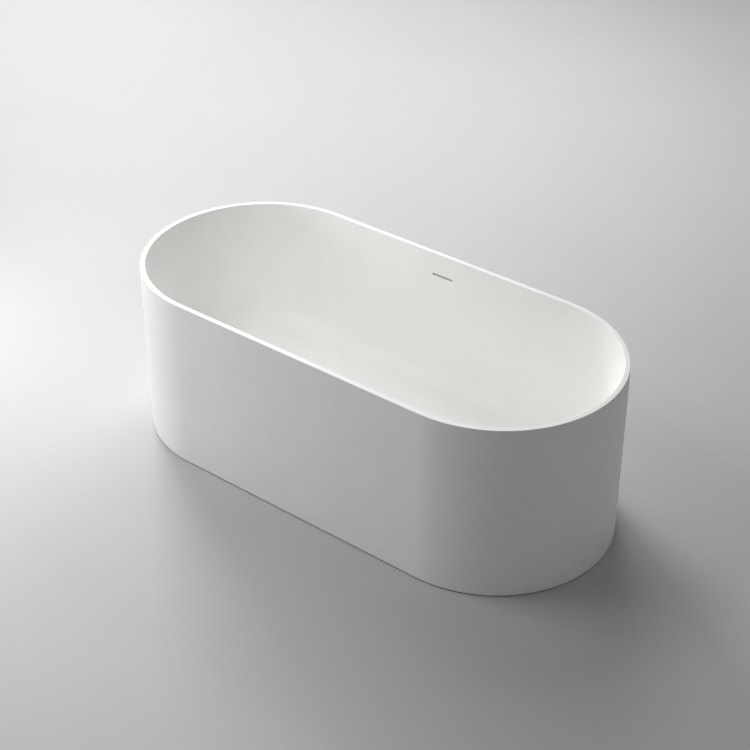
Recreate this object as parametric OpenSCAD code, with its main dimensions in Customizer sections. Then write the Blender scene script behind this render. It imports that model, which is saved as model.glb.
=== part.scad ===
// Freestanding double-shell bathtub, in millimetres.
// The origin is on the floor under the middle of the tub. +X runs along the tub,
// +Y points to the long side that carries the overflow slot, and +Z is up.

/* [Tub] */
// Overall length
tub_l = 1650; // [1400:10:2000]
// Overall width
tub_w = 750; // [640:10:920]
// Overall height, floor to rim
tub_h = 575; // [570:5:700]
// Shadow gap between the floor and the skirt
floor_gap = 3; // [2:0.5:12]

/* [Basin] */
// Width of the flat rim
rim_w = 16; // [13:0.5:30]
// Depth of the rim band that caps the skirt
rim_t = 14; // [10:1:30]
// Radius of the rim's two long edges
edge_r = 2; // [1:0.5:4]
// Wall and floor thickness of the basin
basin_t = 9; // [6:0.5:12]
// Depth from the rim down to the bath floor
bath_depth = 385; // [320:1:390]
// Lean of the inner walls, degrees from upright
wall_lean = 15; // [12:0.5:18]
// Radius between the wall and the bath floor
floor_r = 80; // [50:5:100]

/* [Skirt] */
// Wall thickness of the outer skirt
skirt_t = 8; // [6:0.5:10]
// Chamfer along the skirt's lower edge
skirt_chamfer = 1.5; // [0.5:0.5:3]

/* [Overflow] */
// Length of the overflow slot
slot_l = 78; // [50:2:110]
// Height of the overflow slot
slot_h = 6; // [5:0.5:12]
// Depth of the slot's middle below the rim
slot_drop = 63; // [60:1:80]
// Depth of the water passage behind the slot
duct_depth = 7; // [5:0.5:9]
// Wall of the overflow duct
duct_wall = 2; // [1.5:0.5:3]
// Outer radius of the overflow hose
hose_r = 12.5; // [10:0.5:14]
// Bend radius of the overflow hose
hose_bend = 60; // [50:5:90]

/* [Frame] */
// Thickness of the board bonded under the basin
board_t = 18; // [12:1:25]
// Side of the square frame tube
bar_w = 30; // [25:1:40]
// Wall of the square frame tube
bar_wall = 2; // [1.5:0.5:3]
// Height of the two rails between the crossbars
rail_h = 15; // [12:1:18]
// Distance from the start of the round end to the crossbar's axis
bar_inset = 50; // [30:5:100]
// Distance from the board's long edge to the rail's axis
rail_inset = 70; // [50:5:80]

/* [Feet] */
// Radius of the levelling stud
stud_r = 6; // [5:0.5:8]
// Radius of the foot pad
pad_r = 25; // [20:1:35]
// Distance of the feet from the tub's long sides
foot_inset = 105; // [90:5:140]
// Length of thread left for lowering a foot
foot_travel = 15; // [5:1:30]

/* [Waste] */
// Outer radius of the waste tube
waste_r = 24; // [22:0.5:27]
// Wall of the waste tube
waste_wall = 2.5; // [2:0.5:3]
// Radius of the waste's top flange
flange_r = 36; // [33:0.5:42]
// Lift of the click plug
plug_travel = 9; // [6:0.5:11]
// Radius of the plug's stem
stem_r = 5; // [4:0.5:6]
// Outer radius of the outlet pipe
pipe_r = 20; // [16:0.5:25]
// Distance from the waste's axis to the axis of the outlet's spigot
pipe_reach = 160; // [150:5:260]
// Bend radius of the outlet pipe
pipe_bend = 45; // [40:1:48]

/* [Hidden] */
$fn = 96;
run_gap = 0.05;
face_gap = 0.3;
cut = 1;

// Plan: two round ends joined by a straight middle
end_r = tub_w / 2;
mid_l = tub_l - tub_w;
mid_x = mid_l / 2;

// Inner surface of the basin
floor_z = tub_h - bath_depth;
lip_r = end_r - rim_w;
fillet_z = floor_z + floor_r;
fillet_c = wall_at(fillet_z) - floor_r / cos(wall_lean);
under_z = floor_z - basin_t;

// Waste, from the bath floor downwards
dish_r = 90;
dish_drop = 3;
flange_t = 2.5;
flange_washer_t = 1;
seat_z = floor_z - dish_drop - flange_t;
flange_z = seat_z + flange_washer_t;
hole_r = waste_r + 1.5;
boss_r = flange_r + 24;
boss_z = under_z - 8;
under_washer_t = 4;
nut_t = 10;
nut_z = boss_z - under_washer_t - nut_t;
tube_end_z = nut_z - 14;
tube_bore_r = waste_r - waste_wall;

// Plug and click cartridge, drawn open
seal_t = 2;
cap_t = 2;
cap_dome = 2.5;
cap_r = flange_r - 3;
cap_z = flange_z + flange_t + run_gap * 2 + plug_travel + seal_t;
hub_r = stem_r + 5.5;
cart_r = stem_r + 3;
cart_top_z = flange_z - 12;
hub_z = cart_top_z - 22;
hub_h = 14;
cart_z = hub_z - 4;
collar_z = cap_z - 9;
wire_r = 0.7;
coil_r = stem_r + 1.6;
coil_turns = 4;

// Tee below the waste tube, with the overflow branch and the trap's dip tube
tee_r = waste_r + 5;
tee_top_z = nut_z - 4;
tee_z = tube_end_z - 28;
branch_z = tube_end_z - 13;
branch_end = 75;
branch_r = hose_r - 1.5;
branch_wall = 2.5;
dip_r = waste_r - 2;
dip_wall = 2.5;

// Trap: a bottle body round the dip tube, a screw cup and the outlet pipe
trap_washer_t = 2;
neck_top_z = tee_z - trap_washer_t;
neck_h = 12;
neck_r = waste_r + 2;
neck_flange_t = 3;
trap_nut_wall = 4.5;
trap_r = 42;
trap_wall = 3.5;
shoulder_z = neck_top_z - neck_h;
bottle_h = 59;
bottle_z = shoulder_z - bottle_h;
cup_lap = 9;
cup_drop = 36;
cup_r = trap_r + 4;
cup_seal_t = 2;
dip_end_z = bottle_z - 20;
pipe_wall = 2;
socket_r = pipe_r + 3.5;
socket_l = 26;
socket_stop = trap_r + 6;
outlet_z = shoulder_z - socket_r - 1.5;
outlet_seal_t = 3;
outlet_nut_wall = 4.5;
outlet_nut_end_t = 3;
pipe_collar_x = trap_r + socket_l + outlet_seal_t + outlet_nut_end_t + 1;
spigot_z = 6;

// Frame
board_z = under_z - board_t;
board_r = fillet_c - 6;
board_hole_r = boss_r + 8;
bar_z = board_z - bar_w;
bar_x = mid_x - bar_inset;
bar_half = end_r - skirt_t - 17;
rail_y = board_r - rail_inset;
rail_half = bar_x - bar_w / 2;
cap_lip = 3;
screw_r = 2.5;
screw_head_r = 5.5;
screw_head_t = 3;
screw_bite = board_t - 4;
rail_screw_x = [for (share = [-0.8, -0.3, 0.3, 0.8]) share * rail_half];
bar_screw_y = [-rail_y / 2, rail_y / 2];

// Brackets between the crossbars and the skirt
bracket_w = 40;
bracket_t = 3;
bracket_up = 50;
bracket_out = end_r - skirt_t;
bracket_in = bar_half - 40;
bracket_bolt_y = bar_half - 22;
bolt_r = 3;
bolt_hole_r = 3.2;

// Feet
sleeve_r = stud_r + 3.5;
sleeve_over = 6;
locknut_t = 10;
pad_base_t = 8;
pad_h = 16;
pad_neck_r = stud_r + 6;
stud_z = pad_base_t - 1;
grip_z = pad_h + 1;
grip_h = 8;
foot_y = end_r - foot_inset;
stud_hold = 31;
stud_top_z = bar_z - sleeve_over + stud_hold + foot_travel;
foot_xy = [[-bar_x, -foot_y], [bar_x, -foot_y], [bar_x, foot_y], [-bar_x, foot_y]];

// Overflow duct, drawn in a frame that leans with the basin wall
slot_z = tub_h - slot_drop;
slot_wall_y = wall_at(slot_z) + basin_t / cos(wall_lean);
duct_gasket_t = 1.5;
duct_w = slot_l + 24;
duct_up = slot_h / 2 + 9;
duct_down = 40;
duct_t = duct_gasket_t + duct_depth + duct_wall;
duct_edge = 4;
tab_w = 12;
tab_t = 3;
duct_screw_bite = 4;
duct_screw_r = 1.75;
duct_screw_head_r = 3.5;
collar_top_z = slot_z - 22;
collar_web = 4;
collar_r = hose_r - 1.5;
collar_bore_r = collar_r - 2.5;
hose_y = bracket_out - hose_r - 2.5;
hose_wall = 1.5;
hose_nut_l = 16;
hose_nut_r = hose_r + 2.2;
// The hose and its top nut end 1 mm clear of the basin's leaning wall
hose_clear_y = hose_y - hose_nut_r - 1;
hose_top_z = tub_h - (lip_r + basin_t / cos(wall_lean) - hose_clear_y) / tan(wall_lean);
collar_bottom_z = hose_top_z - hose_nut_l;
hose_bottom_z = branch_z + hose_bend;
hose_end_y = branch_end - hose_nut_l;

// Distance of the inner wall face from the middle plane at height z
function wall_at(z) = lip_r - (tub_h - z) * tan(wall_lean);

// Flat outline with two round ends
module stadium(r) {
    square([mid_l, 2 * r], center = true);
    for (side = [-1, 1])
        translate([side * mid_x, 0])
            circle(r);
}

// Carries an (across, up) profile once round the tub
module around_tub() {
    for (side = [0, 180])
        rotate([0, 0, side])
            translate([mid_x, 0, 0])
                rotate([0, 0, -90])
                    rotate_extrude(angle = 180)
                        children();
    for (side = [0, 180])
        rotate([0, 0, side])
            translate([-mid_x, 0, 0])
                rotate([90, 0, 90])
                    linear_extrude(mid_l)
                        children();
}

module ring(r_out, r_in, h) {
    difference() {
        cylinder(r = r_out, h = h);
        translate([0, 0, -cut])
            cylinder(r = r_in, h = h + 2 * cut);
    }
}

// Hollow of the basin, grown outwards by g
module hollow_profile(g) {
    foot = [fillet_c + (floor_r + g) * cos(wall_lean), fillet_z - (floor_r + g) * sin(wall_lean)];
    top = [wall_at(tub_h + cut) + g / cos(wall_lean), tub_h + cut];
    polygon([[0, floor_z - g], [fillet_c, floor_z - g], foot, top, [0, tub_h + cut]]);
    intersection() {
        translate([fillet_c, fillet_z])
            circle(floor_r + g);
        polygon([[fillet_c, floor_z - g - cut], [fillet_c + 2 * floor_r, floor_z - g - cut],
                 foot, [fillet_c, fillet_z]]);
    }
}

module rim_profile() {
    in_r = wall_at(tub_h - edge_r) + edge_r / cos(wall_lean);
    in_face = [in_r - edge_r * cos(wall_lean), tub_h - edge_r + edge_r * sin(wall_lean)];
    polygon([in_face, [in_r, tub_h], [end_r - edge_r, tub_h], [end_r, tub_h - edge_r],
             [end_r, tub_h - rim_t], [wall_at(tub_h - rim_t), tub_h - rim_t]]);
    for (r = [in_r, end_r - edge_r])
        translate([r, tub_h - edge_r])
            circle(edge_r);
}

module basin_profile() {
    difference() {
        intersection() {
            hollow_profile(basin_t);
            square([end_r, tub_h - rim_t]);
        }
        hollow_profile(0);
    }
    rim_profile();
}

// Moves into the overflow's leaning frame: x along the tub, y up the wall, z out of it
module on_wall() {
    translate([0, slot_wall_y, slot_z])
        rotate([0, 0, 180])
            rotate([90 + wall_lean, 0, 0])
                children();
}

module slot_cut(l, h, depth) {
    for (side = [-1, 1])
        translate([side * (l - h) / 2, 0, 0])
            rotate([-90, 0, 0])
                cylinder(d = h, h = depth);
    translate([-(l - h) / 2, 0, -h / 2])
        cube([l - h, depth, h]);
}

module basin() {
    color("#f4f4f2")
        difference() {
            union() {
                around_tub()
                    basin_profile();
                translate([0, 0, boss_z])
                    cylinder(r = boss_r, h = under_z - boss_z + basin_t / 2);
            }
            translate([0, 0, floor_z - dish_drop])
                cylinder(r1 = flange_r + 1, r2 = dish_r, h = dish_drop);
            translate([0, 0, seat_z])
                cylinder(r = flange_r + 1, h = flange_t + dish_drop);
            translate([0, 0, boss_z - cut])
                cylinder(r = hole_r, h = floor_z);
            translate([0, wall_at(slot_z) - basin_t, slot_z])
                slot_cut(slot_l, slot_h, 3 * basin_t);
            duct_screw_places()
                translate([0, 0, -tab_t - duct_gasket_t - duct_screw_bite])
                    cylinder(r = duct_screw_r, h = duct_screw_bite + cut);
        }
}

module skirt() {
    in_r = end_r - skirt_t;
    top_z = tub_h - rim_t;
    color("#f4f4f2")
        around_tub()
            polygon([[in_r, floor_gap], [end_r - skirt_chamfer, floor_gap],
                     [end_r, floor_gap + skirt_chamfer], [end_r, top_z], [in_r, top_z]]);
}

module base_board() {
    color("#b58f62")
        difference() {
            translate([0, 0, board_z])
                linear_extrude(board_t)
                    difference() {
                        stadium(board_r);
                        circle(board_hole_r);
                    }
            screw_places()
                translate([0, 0, -cut])
                    cylinder(r = screw_r, h = screw_bite + cut);
        }
}

// Where the frame's screws enter the underside of the board
module screw_places() {
    rail_screw_places()
        children();
    bar_screw_places()
        children();
}

module rail_screw_places() {
    for (x = rail_screw_x, y = [-rail_y, rail_y])
        translate([x, y, board_z])
            children();
}

module bar_screw_places() {
    for (x = [-bar_x, bar_x], y = bar_screw_y)
        translate([x, y, board_z])
            children();
}

// Screw through a tube of height h, its bite in the board
module board_screw(h) {
    translate([0, 0, -h - screw_head_t])
        cylinder(r = screw_head_r, h = screw_head_t);
    translate([0, 0, -h])
        cylinder(r = screw_r, h = h + screw_bite);
}

module board_screws() {
    color("#9a9c9e") {
        rail_screw_places()
            board_screw(rail_h);
        bar_screw_places()
            board_screw(bar_w);
    }
}

// Tube along X of height h, centred, its top at z = 0
module tube(half, h) {
    difference() {
        translate([-half, -bar_w / 2, -h])
            cube([2 * half, bar_w, h]);
        translate([-half - cut, -bar_w / 2 + bar_wall, bar_wall - h])
            cube([2 * half + 2 * cut, bar_w - 2 * bar_wall, h - 2 * bar_wall]);
    }
}

module rail(y) {
    color("#8d9093")
        difference() {
            translate([0, y, board_z])
                tube(rail_half, rail_h);
            rail_screw_places()
                translate([0, 0, -rail_h - cut])
                    cylinder(r = screw_r, h = rail_h + 2 * cut);
        }
}

module crossbar(x) {
    color("#8d9093")
        difference() {
            translate([x, 0, board_z])
                rotate([0, 0, 90])
                    tube(bar_half, bar_w);
            bar_screw_places()
                translate([0, 0, -bar_w - cut])
                    cylinder(r = screw_r, h = bar_w + 2 * cut);
            for (p = foot_xy)
                translate([p[0], p[1], bar_z - cut])
                    cylinder(r = sleeve_r, h = bar_w + 2 * cut);
            bracket_places()
                translate([0, bracket_bolt_y, bar_z - cut])
                    cylinder(r = bolt_hole_r, h = bar_wall + 2 * cut);
        }
}

module bar_end_caps() {
    inner = bar_w - 2 * bar_wall;
    color("#2b2c2e")
        for (x = [-bar_x, bar_x], side = [0, 180])
            translate([x, 0, bar_z])
                rotate([0, 0, side]) {
                    translate([-bar_w / 2, bar_half, 0])
                        cube([bar_w, cap_lip, bar_w]);
                    translate([-inner / 2, bar_half - 4 * cap_lip, bar_wall])
                        cube([inner, 4 * cap_lip, inner]);
                }
}

module bracket_places() {
    for (x = [-bar_x, bar_x], side = [0, 180])
        rotate([0, 0, side])
            translate([x, 0, 0])
                children();
}

module skirt_brackets() {
    color("#a7aaac")
        bracket_places() {
            difference() {
                translate([-bracket_w / 2, bracket_in, bar_z - bracket_t])
                    cube([bracket_w, bracket_out - bracket_in, bracket_t]);
                translate([0, bracket_bolt_y, bar_z - bracket_t - cut])
                    cylinder(r = bolt_hole_r, h = bracket_t + 2 * cut);
            }
            translate([-bracket_w / 2, bracket_out - bracket_t, bar_z - bracket_t])
                cube([bracket_w, bracket_t, bracket_up]);
        }
}

module bracket_bolts() {
    head_t = 4;
    color("#c3c6c8")
        bracket_places()
            translate([0, bracket_bolt_y, bar_z - bracket_t]) {
                translate([0, 0, -head_t])
                    cylinder(r = 5.8, h = head_t, $fn = 6);
                cylinder(r = bolt_r, h = bracket_t + bar_wall + 9);
                translate([0, 0, bracket_t + bar_wall])
                    cylinder(r = 5.8, h = 5, $fn = 6);
            }
}

module foot_sleeves() {
    color("#8d9093")
        for (p = foot_xy)
            translate([p[0], p[1], bar_z - sleeve_over])
                ring(sleeve_r, stud_r + run_gap, bar_w + 2 * sleeve_over);
}

module foot_locknuts() {
    color("#c3c6c8")
        for (p = foot_xy)
            translate([p[0], p[1], bar_z - sleeve_over - locknut_t])
                difference() {
                    cylinder(r = stud_r * 1.83, h = locknut_t, $fn = 6);
                    translate([0, 0, -cut])
                        cylinder(r = stud_r + run_gap, h = locknut_t + 2 * cut);
                }
}

module foot_pad(i) {
    color("#2b2c2e")
        translate([foot_xy[i][0], foot_xy[i][1], 0])
            difference() {
                union() {
                    cylinder(r = pad_r, h = pad_base_t - 3);
                    translate([0, 0, pad_base_t - 3])
                        cylinder(r1 = pad_r, r2 = pad_r - 5, h = 3);
                    cylinder(r = pad_neck_r, h = pad_h);
                }
                translate([0, 0, stud_z])
                    cylinder(r = stud_r + run_gap, h = pad_h);
            }
}

module foot_stud(i) {
    color("#c3c6c8")
        translate([foot_xy[i][0], foot_xy[i][1], 0]) {
            translate([0, 0, stud_z + run_gap])
                cylinder(r = stud_r, h = stud_top_z - stud_z - run_gap);
            translate([0, 0, grip_z])
                cylinder(r = stud_r * 1.5, h = grip_h, $fn = 6);
        }
}

module flange_washer() {
    color("#6b6d6f")
        translate([0, 0, seat_z])
            ring(flange_r - 1, waste_r + 0.5, flange_washer_t);
}

module waste_body() {
    arm_w = 3;
    color("#d9dbdc") {
        difference() {
            union() {
                translate([0, 0, flange_z])
                    cylinder(r = flange_r, h = flange_t - 1);
                translate([0, 0, flange_z + flange_t - 1])
                    cylinder(r1 = flange_r, r2 = flange_r - 1, h = 1);
                translate([0, 0, tube_end_z])
                    cylinder(r = waste_r, h = flange_z - tube_end_z);
            }
            translate([0, 0, tube_end_z - cut])
                cylinder(r = tube_bore_r, h = flange_z - tube_end_z + flange_t + 2 * cut);
        }
        translate([0, 0, hub_z])
            difference() {
                union() {
                    cylinder(r = hub_r, h = hub_h);
                    intersection() {
                        for (a = [0:120:240])
                            rotate([0, 0, a])
                                translate([0, -arm_w / 2, 0])
                                    cube([waste_r, arm_w, hub_h]);
                        cylinder(r = tube_bore_r + waste_wall / 2, h = hub_h);
                    }
                }
                translate([0, 0, -cut])
                    cylinder(r = cart_r, h = hub_h + 2 * cut);
            }
    }
}

module under_washer() {
    color("#2b2c2e")
        translate([0, 0, boss_z - under_washer_t])
            ring(flange_r - 2, waste_r + 0.2, under_washer_t);
}

module back_nut() {
    lugs = 6;
    color("#3a3b3d")
        translate([0, 0, nut_z])
            difference() {
                union() {
                    cylinder(r = flange_r - 3, h = nut_t);
                    for (i = [0:lugs - 1])
                        rotate([0, 0, i * 360 / lugs])
                            translate([flange_r - 5, -3, 0])
                                cube([6, 6, nut_t]);
                }
                translate([0, 0, -cut])
                    cylinder(r = waste_r, h = nut_t + 2 * cut);
            }
}

module click_cartridge() {
    color("#c9a74f")
        translate([0, 0, cart_z])
            difference() {
                union() {
                    cylinder(r = cart_r, h = cart_top_z - cart_z);
                    translate([0, 0, hub_z + hub_h - cart_z])
                        cylinder(r = cart_r + 1.8, h = 2.5);
                }
                translate([0, 0, -cut])
                    cylinder(r = stem_r + run_gap, h = cart_top_z - cart_z + 2 * cut);
            }
}

// Points of one wire section, a share t of the way up the coil
function coil_ring(t, sides) = [
    for (i = [0:sides - 1])
        let (a = 360 * coil_turns * t, b = 360 * i / sides, r = coil_r + wire_r * cos(b))
            [r * cos(a), r * sin(a), cart_top_z + wire_r + face_gap / 3
                + (collar_z - cart_top_z - 2 * wire_r - face_gap) * t + wire_r * sin(b)]
];

module plug_spring() {
    sides = 8;
    steps = coil_turns * 16;
    points = [for (s = [0:steps]) each coil_ring(s / steps, sides)];
    walls = [
        for (s = [0:steps - 1], i = [0:sides - 1])
            [s * sides + i, (s + 1) * sides + i, (s + 1) * sides + (i + 1) % sides,
             s * sides + (i + 1) % sides]
    ];
    ends = [[for (i = [0:sides - 1]) i], [for (i = [sides - 1:-1:0]) steps * sides + i]];
    color("#b9bcbe")
        polyhedron(points, concat(walls, ends));
}

module plug_stem() {
    color("#d9dbdc") {
        translate([0, 0, cart_z - 6])
            cylinder(r = stem_r, h = cap_z - cart_z + 6);
        translate([0, 0, collar_z])
            cylinder(r = coil_r + 1.6, h = 3);
    }
}

module plug_seal() {
    color("#2b2c2e")
        translate([0, 0, cap_z - seal_t])
            ring(cap_r - 3, cap_r - 8, seal_t);
}

module plug_cap() {
    dome_r = (cap_r * cap_r + cap_dome * cap_dome) / (2 * cap_dome);
    color("#f4f4f2")
        translate([0, 0, cap_z]) {
            cylinder(r = cap_r, h = cap_t);
            intersection() {
                translate([0, 0, cap_t + cap_dome - dome_r])
                    sphere(r = dome_r, $fn = 240);
                cylinder(r = cap_r, h = cap_t + cap_dome + cut);
            }
        }
}

module waste_tee() {
    color("#e9e9e6")
        difference() {
            union() {
                translate([0, 0, tee_z])
                    cylinder(r = tee_r, h = tee_top_z - tee_z);
                translate([0, 0, dip_end_z])
                    cylinder(r = dip_r, h = tee_z - dip_end_z + cut);
                translate([0, 0, branch_z])
                    rotate([-90, 0, 0])
                        cylinder(r = branch_r, h = branch_end);
            }
            translate([0, 0, tube_end_z])
                cylinder(r = waste_r, h = tee_top_z);
            translate([0, 0, dip_end_z - cut])
                cylinder(r = dip_r - dip_wall, h = tube_end_z - dip_end_z + 2 * cut);
            translate([0, 0, branch_z])
                rotate([-90, 0, 0])
                    cylinder(r = branch_r - branch_wall, h = branch_end + cut);
        }
}

module trap_washer() {
    color("#2b2c2e")
        translate([0, 0, neck_top_z])
            ring(tee_r - 1, dip_r + run_gap, trap_washer_t);
}

module trap_nut() {
    ribs = 12;
    lip_h = neck_h - neck_flange_t - 2;
    nut_h = neck_h + 3;
    color("#e9e9e6")
        translate([0, 0, neck_top_z - neck_flange_t - lip_h])
            difference() {
                union() {
                    cylinder(r = tee_r + trap_nut_wall, h = nut_h);
                    for (i = [0:ribs - 1])
                        rotate([0, 0, i * 360 / ribs])
                            translate([tee_r + trap_nut_wall - 1, -2, 0])
                                cube([2.5, 4, nut_h]);
                }
                translate([0, 0, -cut])
                    cylinder(r = neck_r, h = nut_h);
                translate([0, 0, lip_h])
                    cylinder(r = tee_r + run_gap, h = nut_h);
            }
}

module trap_body() {
    color("#e9e9e6")
        difference() {
            union() {
                translate([0, 0, bottle_z])
                    cylinder(r = trap_r, h = bottle_h);
                translate([0, 0, shoulder_z - cut])
                    cylinder(r = neck_r, h = neck_h + cut);
                translate([0, 0, neck_top_z - neck_flange_t])
                    cylinder(r = tee_r - run_gap, h = neck_flange_t);
                translate([0, 0, outlet_z])
                    rotate([0, 90, 0])
                        cylinder(r = socket_r, h = trap_r + socket_l);
            }
            translate([0, 0, bottle_z - cut])
                cylinder(r = trap_r - trap_wall, h = bottle_h - trap_wall + cut);
            translate([0, 0, bottle_z])
                cylinder(r = dip_r + run_gap, h = bottle_h + neck_h + cut);
            translate([0, 0, outlet_z])
                rotate([0, 90, 0])
                    cylinder(r = pipe_r - pipe_wall, h = trap_r + socket_l + cut);
            translate([socket_stop, 0, outlet_z])
                rotate([0, 90, 0])
                    cylinder(r = pipe_r, h = trap_r);
        }
}

module trap_cup_seal() {
    color("#2b2c2e")
        translate([0, 0, bottle_z - cup_seal_t])
            ring(trap_r, trap_r - trap_wall, cup_seal_t);
}

module trap_cup() {
    foot_h = 6;
    color("#e9e9e6")
        translate([0, 0, bottle_z - cup_drop])
            difference() {
                union() {
                    cylinder(r1 = trap_r - foot_h, r2 = trap_r, h = foot_h);
                    translate([0, 0, foot_h])
                        cylinder(r = trap_r, h = cup_drop - foot_h);
                    translate([0, 0, cup_drop - foot_h])
                        cylinder(r = cup_r, h = cup_lap + foot_h);
                }
                translate([0, 0, trap_wall])
                    cylinder(r = trap_r - foot_h - 1, h = cup_drop);
                translate([0, 0, foot_h])
                    cylinder(r = trap_r - trap_wall, h = cup_drop);
                translate([0, 0, cup_drop - cup_seal_t])
                    cylinder(r = trap_r, h = cup_lap + cup_seal_t + cut);
            }
}

module outlet_seal() {
    color("#2b2c2e")
        translate([trap_r + socket_l, 0, outlet_z])
            rotate([0, 90, 0])
                ring(socket_r, pipe_r, outlet_seal_t);
}

module outlet_nut() {
    nut_l = 18;
    color("#e9e9e6")
        translate([trap_r + socket_l + outlet_seal_t + outlet_nut_end_t - nut_l, 0, outlet_z])
            rotate([0, 90, 0])
                difference() {
                    cylinder(r = socket_r + outlet_nut_wall, h = nut_l);
                    translate([0, 0, -cut])
                        cylinder(r = socket_r, h = nut_l - outlet_nut_end_t + cut);
                    cylinder(r = pipe_r, h = nut_l + cut);
                }
}

module pipe_section() {
    difference() {
        circle(pipe_r);
        circle(pipe_r - pipe_wall);
    }
}

// Runs out of the trap, bends down and ends in a spigot just above the floor
module outlet_pipe() {
    color("#dcdcd8") {
        translate([socket_stop, 0, outlet_z])
            rotate([0, 90, 0]) {
                linear_extrude(pipe_reach - pipe_bend - socket_stop)
                    pipe_section();
                translate([0, 0, pipe_collar_x - socket_stop])
                    ring(pipe_r + 2, pipe_r - pipe_wall / 2, 3);
            }
        translate([pipe_reach - pipe_bend, 0, outlet_z - pipe_bend])
            rotate([90, 0, 0])
                rotate_extrude(angle = 90)
                    translate([pipe_bend, 0])
                        pipe_section();
        translate([pipe_reach, 0, spigot_z])
            linear_extrude(outlet_z - pipe_bend - spigot_z)
                pipe_section();
    }
}

// The duct's four fixing screws stand at the corners of its flange
module duct_screw_places() {
    for (side = [-1, 1], y = [duct_up - tab_w / 2, -duct_down + tab_w / 2])
        on_wall()
            translate([side * (duct_w / 2 + tab_w / 2), y, duct_gasket_t + tab_t])
                children();
}

module overflow_gasket() {
    color("#2b2c2e")
        on_wall()
            translate([-duct_w / 2, -duct_down, 0])
                difference() {
                    cube([duct_w, duct_up + duct_down, duct_gasket_t]);
                    translate([duct_edge, duct_edge, -cut])
                        cube([duct_w - 2 * duct_edge, duct_up + duct_down - 2 * duct_edge,
                              duct_gasket_t + 2 * cut]);
                }
}

module overflow_duct() {
    color("#e9e9e6")
        difference() {
            union() {
                on_wall()
                    translate([-duct_w / 2, -duct_down, duct_gasket_t])
                        cube([duct_w, duct_up + duct_down, duct_t - duct_gasket_t]);
                on_wall()
                    for (side = [-1, 1], y = [duct_up - tab_w, -duct_down])
                        translate([side * (duct_w + tab_w) / 2 - tab_w / 2, y, duct_gasket_t])
                            cube([tab_w, tab_w, tab_t]);
                translate([0, hose_y, collar_bottom_z])
                    cylinder(r = collar_r, h = collar_top_z - collar_bottom_z);
            }
            on_wall()
                translate([-duct_w / 2 + duct_edge, -duct_down + duct_edge, 0])
                    cube([duct_w - 2 * duct_edge, duct_up + duct_down - 2 * duct_edge,
                          duct_gasket_t + duct_depth]);
            on_wall()
                translate([-duct_w, -2 * duct_w, -duct_w])
                    cube([2 * duct_w, 3 * duct_w, duct_w + duct_gasket_t]);
            translate([0, hose_y, collar_bottom_z - cut])
                cylinder(r = collar_bore_r, h = collar_top_z - collar_bottom_z - collar_web);
            duct_screw_places()
                translate([0, 0, -tab_t - cut])
                    cylinder(r = duct_screw_r, h = tab_t + 2 * cut);
        }
}

module overflow_screws() {
    color("#c3c6c8")
        duct_screw_places() {
            cylinder(r = duct_screw_head_r, h = 2);
            translate([0, 0, -tab_t - duct_gasket_t - duct_screw_bite])
                cylinder(r = duct_screw_r, h = tab_t + duct_gasket_t + duct_screw_bite);
        }
}

module hose_section() {
    difference() {
        circle(hose_r);
        circle(hose_r - hose_wall);
    }
}

module overflow_hose() {
    color("#b9bcbe") {
        translate([0, hose_y, hose_bottom_z])
            linear_extrude(hose_top_z - hose_bottom_z)
                hose_section();
        translate([0, hose_y - hose_bend, hose_bottom_z])
            rotate([0, 90, 0])
                rotate_extrude(angle = 90)
                    translate([hose_bend, 0])
                        hose_section();
        translate([0, hose_end_y, branch_z])
            rotate([-90, 0, 0])
                linear_extrude(hose_y - hose_bend - hose_end_y)
                    hose_section();
    }
}

module hose_nut() {
    difference() {
        cylinder(r = hose_nut_r, h = hose_nut_l);
        translate([0, 0, -cut])
            cylinder(r = hose_r, h = hose_nut_l + 2 * cut);
    }
}

module hose_nut_top() {
    color("#3a3b3d")
        translate([0, hose_y, collar_bottom_z])
            hose_nut();
}

module hose_nut_bottom() {
    color("#3a3b3d")
        translate([0, hose_end_y, branch_z])
            rotate([-90, 0, 0])
                hose_nut();
}

basin();
skirt();
base_board();
rail(-rail_y);  // rail_front
rail(rail_y);  // rail_back
crossbar(-bar_x);  // crossbar_left
crossbar(bar_x);  // crossbar_right
bar_end_caps();
board_screws();
foot_sleeves();
foot_locknuts();
skirt_brackets();
bracket_bolts();
foot_pad(0);  // foot_pad_1
foot_pad(1);  // foot_pad_2
foot_pad(2);  // foot_pad_3
foot_pad(3);  // foot_pad_4
foot_stud(0);  // foot_stud_1
foot_stud(1);  // foot_stud_2
foot_stud(2);  // foot_stud_3
foot_stud(3);  // foot_stud_4
flange_washer();
waste_body();
under_washer();
back_nut();
click_cartridge();
plug_spring();
plug_stem();
plug_seal();
plug_cap();
waste_tee();
trap_washer();
trap_nut();
trap_body();
trap_cup_seal();
trap_cup();
outlet_seal();
outlet_nut();
outlet_pipe();
overflow_gasket();
overflow_duct();
overflow_screws();
overflow_hose();
hose_nut_top();
hose_nut_bottom();
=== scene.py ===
import math

import bmesh
import bpy
from mathutils import Matrix, Vector


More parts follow.
